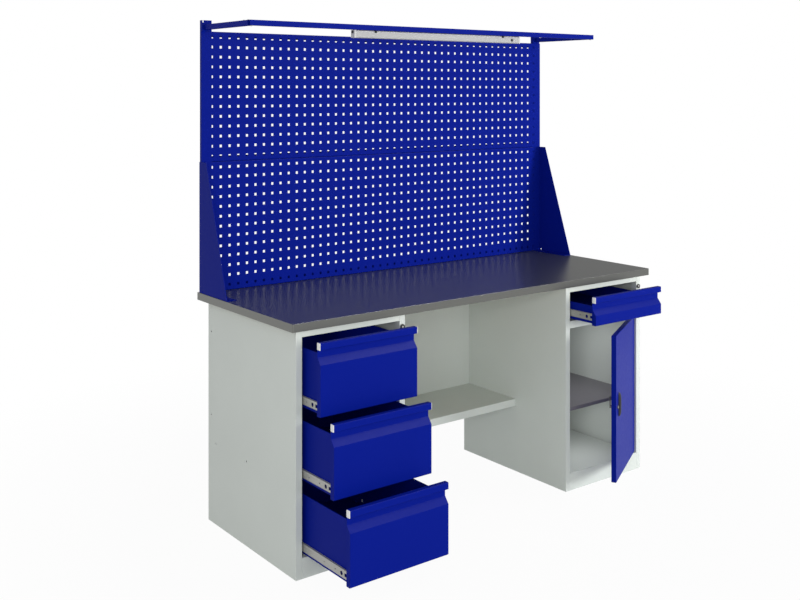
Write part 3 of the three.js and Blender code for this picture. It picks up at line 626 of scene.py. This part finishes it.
def door_leaf():
    """The cupboard door: a folded pan carried round the door's outline, with a turned pin above and below
    its hinge edge, and then turned open."""
    low, high = span("door")
    bottom = low[2] + PIN_REACH
    top = high[2] - PIN_REACH
    profile = pan(-DOOR_THICK / 2, DOOR_THICK / 2, DOOR_BEND, DOOR_RETURN)
    leaf = placed(ringed(FREE_EDGE, DOOR_INSET, bottom, top, DOOR_CORNER, profile), FRONTWARD)
    pin = turned([(PIN_RADIUS, 0), (PIN_RADIUS, PIN_REACH + PIN_ROOT)])
    pins = [placed(pin, UPWARD, (0, 0, z)) for z in (bottom - PIN_REACH, top - PIN_ROOT)]
    piece("door_leaf", on_door(gathered(leaf, *pins)), "door", BLUE_COAT, ["door"])


def door_grip():
    """The moulded pull of the door: a half-round bar whose depth and width fall off towards both ends as
    a flat-topped curve. Near the door its hinge side is drawn in, which leaves room for the fingertips."""
    low, high = span("door_handle")
    along = np.sin(np.linspace(-math.pi / 2, math.pi / 2, GRIP_ROWS))[:, None]
    angle = np.linspace(0, math.pi, GRIP_COLUMNS)
    # the low limits keep the ends from closing to a line
    deep = GRIP_DEPTH * np.sqrt(np.clip(1 - np.abs(along) ** 5, 0.004, 1))
    wide = GRIP_HALF_WIDTH * np.sqrt(np.clip(1 - np.abs(along) ** 9, 0.02, 1))
    hinge_side = np.where(angle < math.pi / 2, 0.5 * (1 - np.sin(angle)), 0)
    drawn_in = hinge_side * np.clip(1.6 - 2.6 * along**2, 0, 1)
    x = FREE_EDGE + GRIP_FROM_EDGE + wide * np.cos(angle) * (1 - drawn_in)
    y = DOOR_SEAT - deep * np.sin(angle) ** 0.7
    z = (low[2] + high[2]) / 2 + along[:, 0] * (high[2] - low[2]) / 2
    points, faces = stacked_rings(x, y, z)
    shape = (points, [face[::-1] for face in faces])
    piece("door_grip", on_door(shape), "door", BLACK_PLASTIC, ["door_handle"])


# Locks

LOCK_FROM_EDGE = 30
LOCK_HEIGHT = 368
LOCK_HEAD = 3
CORE_SINK = 0.05


def key_plug(lock, at, on_leaf=False):
    """The turning core of a lock: a disc with a broken edge and, across it, a thin black plate on its face as
    painted shade where the keyway would be, which is not cut.
    """
    core = turned([(3.4, 0), (3.4, 0.5), (3.0, 0.9), (0.1, 0.9)])
    # a thin black plate on the core's face: painted shade for the keyway, which is not cut
    keyway_shade = ringed(-0.7, 0.7, -2.4, 2.4, 0.6, [(0, 0.8), (0, 0.95), (0.1, 1.0)])
    core, keyway_shade = [placed(shape, FRONTWARD, at) for shape in (core, keyway_shade)]
    if on_leaf:
        core, keyway_shade = on_door(core), on_door(keyway_shade)
    piece(f"{lock}_core", core, lock, BRIGHT_ZINC)
    piece(f"{lock}_painted_keyway", keyway_shade, lock, BLACK_PLASTIC)


def locks():
    """Cores for the two pedestal locks, in the middle of their faces, and for the lock in the door."""
    for lock in ("left_pedestal_lock", "right_pedestal_lock"):
        low, high = span(lock)
        key_plug(lock, ((low[0] + high[0]) / 2, low[1] + CORE_SINK, (low[2] + high[2]) / 2))
    at = (FREE_EDGE + LOCK_FROM_EDGE, DOOR_SEAT - LOCK_HEAD + CORE_SINK, LOCK_HEIGHT)
    key_plug("door_lock", at, on_leaf=True)


# Slides and drawer boxes

RAIL_WALL = 1.4
RAIL_BEND = 1.2
RAIL_STRIP = 4
# round holes of the rail on a drawer: distance from its front end, and radius
RAIL_HOLES = (
    (28, 7.0),
    (64, 2.6),
    (128, 2.2),
    (320, 2.6),
    (416, 4.4),
    (467, 2.6),
    (512, 2.6),
)
HOLE_SIDES = 24
# the notch in the rail's front end: its depth, and the share of the face that each prong keeps
FORK = 11
PRONG = 0.22
RAIL_SCREWS = (45, 250, 467)
RAIL_SCREW_RADIUS = 6
FRAME_SCREW_RADIUS = 4.5
BOX_FOOT = 10
BOX_FOLD = 8


def holed_cell(y, z, half, radius, x0, x1):
    """A square plate with a round hole: four loops, circle and square on one face, square and circle on
    the other. A point of the square is the circle's direction carried out to the square."""
    angle = np.linspace(0, 2 * math.pi, HOLE_SIDES, endpoint=False)
    way = np.c_[np.cos(angle), np.sin(angle)]
    circle = way * radius + (y, z)
    square = way / np.abs(way).max(1)[:, None] * half + (y, z)
    loops = ((x0, circle), (x0, square), (x1, square), (x1, circle))
    points = np.concatenate([np.c_[np.full(HOLE_SIDES, x), loop] for x, loop in loops])
    return points, quads(len(loops), HOLE_SIDES, True, True)


def slide_rail(drawer, side):
    """The rail that is screwed to a drawer: a face with round holes, forked at its front end, between two
    flanges that are bent outlines carried along y."""
    solid = f"{drawer}_{side}_inner_rail"
    low, high = span(solid)
    front, back = low[1], high[1]
    z0, z1 = low[2] + RAIL_STRIP, high[2] - RAIL_STRIP
    middle = (z0 + z1) / 2
    half = (z1 - z0) / 2
    prong = PRONG * (z1 - z0)
    left = side == "left"
    outer, fixed = (low[0], high[0]) if left else (high[0], low[0])
    x0, x1 = (outer, outer + RAIL_WALL) if left else (outer - RAIL_WALL, outer)
    parts = [bar(x0, x1, front, front + FORK, a, b) for a, b in ((z0, z0 + prong), (z1 - prong, z1))]
    parts += [holed_cell(front + y, middle, half, radius, x0, x1) for y, radius in RAIL_HOLES]
    starts = [front + FORK] + [front + y + half for y, _ in RAIL_HOLES]
    ends = [front + y - half for y, _ in RAIL_HOLES] + [back]
    parts += [bar(x0, x1, a, b, z0, z1) for a, b in zip(starts, ends)]
    for edge, inward in ((low[2], RAIL_STRIP), (high[2], -RAIL_STRIP)):
        path = [(edge + inward, outer), (edge, outer), (edge, fixed)]
        path = path if left == (inward > 0) else path[::-1]
        parts.append(extruded(bent(path, RAIL_WALL, RAIL_BEND), "y", front, back))
    piece(f"{drawer}_{side}_slide_rail", gathered(*parts), drawer, ZINC, [solid])


def screw(name, body, turn, at, radius=FRAME_SCREW_RADIUS, finish=ZINC):
    """A plain round head, as a rivet or a screw from behind shows: a low dome on a short rim, which closes
    to a tiny flat."""
    rim, crown, flat = 0.8, 2.0, 0.1
    dome = arc(1.0, 0, 90, 6)
    profile = [(radius, 0)] + [(flat + (radius - flat) * c, rim + crown * s) for c, s in dome]
    piece(name, placed(turned(profile, 20), turn, at), body, finish)


def rail_screws(drawer):
    """Heads inside a drawer of the screws that hold its rails."""
    low, high = span(f"{drawer}_box")
    rail_low, rail_high = span(f"{drawer}_left_inner_rail")
    z = (rail_low[2] + rail_high[2]) / 2
    walls = (("left", RIGHTWARD, low[0] + SHEET), ("right", LEFTWARD, high[0] - SHEET))
    for count, distance in enumerate(RAIL_SCREWS, 1):
        y = rail_low[1] + distance
        for side, turn, x in walls:
            name = f"{drawer}_{side}_rail_screw_{count}"
            screw(name, drawer, turn, (x, y, z), RAIL_SCREW_RADIUS, MILKY_ZINC)


def box_foot(drawer):
    """The seam under a drawer box: each side wall runs on below the bottom and is folded in, as a bent
    outline carried along y."""
    low, high = span(f"{drawer}_box")
    foot = low[2] - BOX_FOOT
    walls = []
    for wall, inward in ((low[0], BOX_FOLD), (high[0], -BOX_FOLD)):
        path = [(low[2], wall), (foot, wall), (foot, wall + inward)]
        walls.append(extruded(bent(path if inward > 0 else path[::-1]), "y", low[1], high[1]))
    piece(f"{drawer}_box_foot", gathered(*walls), drawer, BLUE_COAT)


# Lamp frame

CLIP_FROM_MIDDLE = 333
CLIP_HALF_WIDTH = 4
SWITCH_FROM_MIDDLE = 386
SWITCH_DROP = 1
INLET_DROP = 8
FRAME_SCREWS = (11, 43)


def lamp_fittings():
    """Black clips that hold the lamp under its rail, its switch and its inlet, and the screws of the
    frame. A clip is an outline carried along x, and the switch and the inlet are turned profiles."""
    rail_low, rail_high = span("lamp_rail")
    low, high = span("lamp_body")
    face = span("lamp_diffuser")[0][1]
    rail, top = rail_low[1], high[2]
    hook = [
        (rail + 1, top - 0.3),
        (rail + 2.5, top - 4),
        (face - 2.2, top - 9),
        (face - 0.4, top - 9),
        (face - 0.4, top - 0.3),
    ]
    for side, x in (("left", -CLIP_FROM_MIDDLE), ("right", CLIP_FROM_MIDDLE)):
        clip = extruded(hook, "x", x - CLIP_HALF_WIDTH, x + CLIP_HALF_WIDTH)
        piece(f"lamp_{side}_clip", clip, "bench", BLACK_PLASTIC)
    button = turned([(6.5, 0), (6.5, 1.2), (5.4, 1.6), (5.0, 1.6), (4.7, 3.0), (3.8, 3.4), (0.1, 3.5)])
    button = placed(button, FRONTWARD, (SWITCH_FROM_MIDDLE, face, (low[2] + high[2]) / 2 - SWITCH_DROP))
    piece("lamp_switch", button, "bench", BLACK_PLASTIC)
    plug = turned([(5.5, 0), (5.5, 2.0), (4.9, 2.6), (2.2, 2.6), (1.9, 2.2), (0.1, 2.2)])
    plug = placed(plug, LEFTWARD, (low[0], (low[1] + high[1]) / 2, top - INLET_DROP))
    piece("lamp_inlet", plug, "bench", BLACK_PLASTIC)
    for side in ("left", "right"):
        arm_low, arm_high = span(f"{side}_lamp_arm")
        x = (arm_low[0] + arm_high[0]) / 2
        for count, distance in enumerate(FRAME_SCREWS, 1):
            at = (x, arm_low[1] + distance, arm_high[2])
            screw(f"{side}_frame_screw_{count}", "bench", UPWARD, at)
        at = (x, (rail_low[1] + rail_high[1]) / 2, rail_low[2])
        screw(f"{side}_frame_nut", "bench", DOWNWARD, at)


# Stage, lights and camera, in metres and watts

FLOOR_HALF = 12
FLOOR_DROP = 0.0006
FLOOR_SHADE = "D2D2D2"
# the floor keeps some shadow near the bench and is seen as white further out
FLOOR_FADE = {"From Min": 1.2, "From Max": 2.6, "To Min": 0.955, "To Max": 1.0}
SKY_LEVEL = 0.57
CARD_LEVEL = 0.35
# the photograph's frame, focal length and shift, in its pixels
FRAME_WIDTH = 800
FOCAL_LENGTH = 1051
FRAME_SHIFT = 210.7
SENSOR = 36
CAMERA_PLACE = (-2.714, -3.1975, 1.64)
CAMERA_TURN = math.radians(37.22)


def board(name, corners):
    """A flat board of the stage through four corners."""
    mesh = bpy.data.meshes.new(name)
    mesh.from_pydata(corners, [], [(0, 1, 2, 3)])
    made = bpy.data.objects.new(name, mesh)
    bpy.context.scene.collection.objects.link(made)
    return made


def seen_directly(tree):
    """1 for what the camera sees, directly, mirrored or through glass, and 0 for light that falls on
    things: the largest of three answers of the light path."""
    path = node(tree, "ShaderNodeLightPath").outputs
    rays = {0: path["Is Camera Ray"], 1: path["Is Glossy Ray"]}
    mirrored = node(tree, "ShaderNodeMath", rays, operation="MAXIMUM")
    rays = {0: mirrored.outputs[0], 1: path["Is Transmission Ray"]}
    return node(tree, "ShaderNodeMath", rays, operation="MAXIMUM").outputs[0]


def pale_floor():
    """Floor that the camera and reflections see as white. It keeps a share of the light that really falls
    on it, and with it the bench's shadow; the share fades with the distance from the bench."""
    around = ((-1, -1), (1, -1), (1, 1), (-1, 1))
    floor = board("floor", [(x * FLOOR_HALF, y * FLOOR_HALF, -FLOOR_DROP) for x, y in around])
    material = bpy.data.materials.new("pale_floor")
    tree = cleared(material)
    place = node(tree, "ShaderNodeTexCoord").outputs["Object"]
    away = node(tree, "ShaderNodeVectorMath", {0: place}, operation="LENGTH")
    fade = node(tree, "ShaderNodeMapRange", {"Value": away.outputs["Value"], **FLOOR_FADE})
    factors = {0: seen_directly(tree), 1: fade.outputs[0]}
    share = node(tree, "ShaderNodeMath", factors, operation="MULTIPLY")
    matt = node(tree, "ShaderNodeBsdfDiffuse", {"Color": linear(FLOOR_SHADE)})
    bright = node(tree, "ShaderNodeEmission", {"Strength": 1.0})
    shaders = {0: share.outputs[0], 1: matt.outputs[0], 2: bright.outputs[0]}
    both = node(tree, "ShaderNodeMixShader", shaders)
    node(tree, "ShaderNodeOutputMaterial", {"Surface": both.outputs[0]})
    floor.data.materials.append(material)


def white_surround():
    """A world that is seen as white and lights the bench at a lower level."""
    world = bpy.data.worlds.new("studio")
    bpy.context.scene.world = world
    tree = cleared(world)
    levels = {0: seen_directly(tree), FROM_NUMBER: SKY_LEVEL, TO_NUMBER: 1.0}
    level = node(tree, "ShaderNodeMix", levels)
    sky = node(tree, "ShaderNodeBackground", {"Strength": level.outputs[0], "Color": (1, 1, 1, 1)})
    node(tree, "ShaderNodeOutputWorld", {"Surface": sky.outputs[0]})


def grey_card():
    """A grey board beyond the right end of the bench, which only the reflections in the worktop show."""
    card = board("grey_card", [(0.9, 0.6, 0), (4.5, 0.6, 0), (4.5, 0.6, 2.5), (0.9, 0.6, 2.5)])
    card.visible_camera = False
    card.visible_diffuse = False
    card.visible_shadow = False
    card.visible_transmission = False
    material = bpy.data.materials.new("grey_card")
    tree = cleared(material)
    glow = node(tree, "ShaderNodeEmission", {"Color": (CARD_LEVEL, CARD_LEVEL, CARD_LEVEL, 1)})
    node(tree, "ShaderNodeOutputMaterial", {"Surface": glow.outputs[0]})
    card.data.materials.append(material)


def softbox(name, at, towards, wide, tall, watts, diffuse=True, glossy=True):
    """A rectangular lamp that faces a point; it can be left out of the lit or of the mirrored part."""
    lamp = bpy.data.lights.new(name, "AREA")
    lamp.shape = "RECTANGLE"
    lamp.size = wide
    lamp.size_y = tall
    lamp.energy = watts
    made = bpy.data.objects.new(name, lamp)
    bpy.context.scene.collection.objects.link(made)
    made.location = at
    made.rotation_euler = (Vector(towards) - Vector(at)).to_track_quat("-Z", "Y").to_euler()
    made.visible_camera = False
    made.visible_diffuse = diffuse
    made.visible_glossy = glossy


def lights():
    """Soft boxes from the left, the front and the right, one that only the worktop mirrors, and small ones
    inside the cupboard and above the top drawer, where the photograph is light."""
    softbox("key_light", (-3.6, -3.84, 1.8), (0, 0, 0.7), 1.8, 1.6, 82)
    softbox("fill_light", (0.3, -4.6, 1.2), (0, 0, 0.6), 1.2, 1.2, 18, glossy=False)
    softbox("front_light", (4.2, -3.6, 1.4), (0, 0, 0.6), 1.6, 1.2, 215, glossy=False)
    softbox("sheen_light", (2.0, -2.2, 3.7), (-0.6, -0.4, 0.5), 3.0, 1.5, 240, diffuse=False)
    softbox("cupboard_light", (0.6, -0.05, 0.65), (0.6, -0.05, 0), 0.3, 0.3, 0.54, glossy=False)
    softbox("cupboard_floor_light", (0.58, -0.06, 0.3), (0.58, -0.06, 0), 0.3, 0.25, 0.38, glossy=False)
    softbox("drawer_light", (-0.64, 0.02, 0.803), (-0.64, 0.02, 0), 0.3, 0.3, 0.16, glossy=False)


def camera():
    """The photograph's camera: level, turned to the right, with the frame shifted down."""
    lens = bpy.data.cameras.new("camera")
    lens.sensor_width = SENSOR
    lens.lens = SENSOR * FOCAL_LENGTH / FRAME_WIDTH
    lens.shift_y = -FRAME_SHIFT / FRAME_WIDTH
    made = bpy.data.objects.new("camera", lens)
    bpy.context.scene.collection.objects.link(made)
    made.location = CAMERA_PLACE
    made.rotation_euler = (math.pi / 2, 0, -CAMERA_TURN)
    bpy.context.scene.camera = made


camera()
dress_solids()
worktop()
cupboard_shelf()
for drawer in DRAWERS:
    drawer_front(drawer)
tool_panel("lower_perforated_panel", "lower_tool_panel", PANEL_FOOT_LIP)
tool_panel("upper_perforated_panel", "upper_tool_panel", PANEL_LIP, PANEL_LIP, PANEL_SIDE_HEM)
door_leaf()
door_grip()
locks()
for drawer in DRAWERS:
    slide_rail(drawer, "left")
    slide_rail(drawer, "right")
    rail_screws(drawer)
    box_foot(drawer)
lamp_fittings()
pale_floor()
white_surround()
grey_card()
lights()
bpy.context.scene.view_settings.view_transform = "Standard"
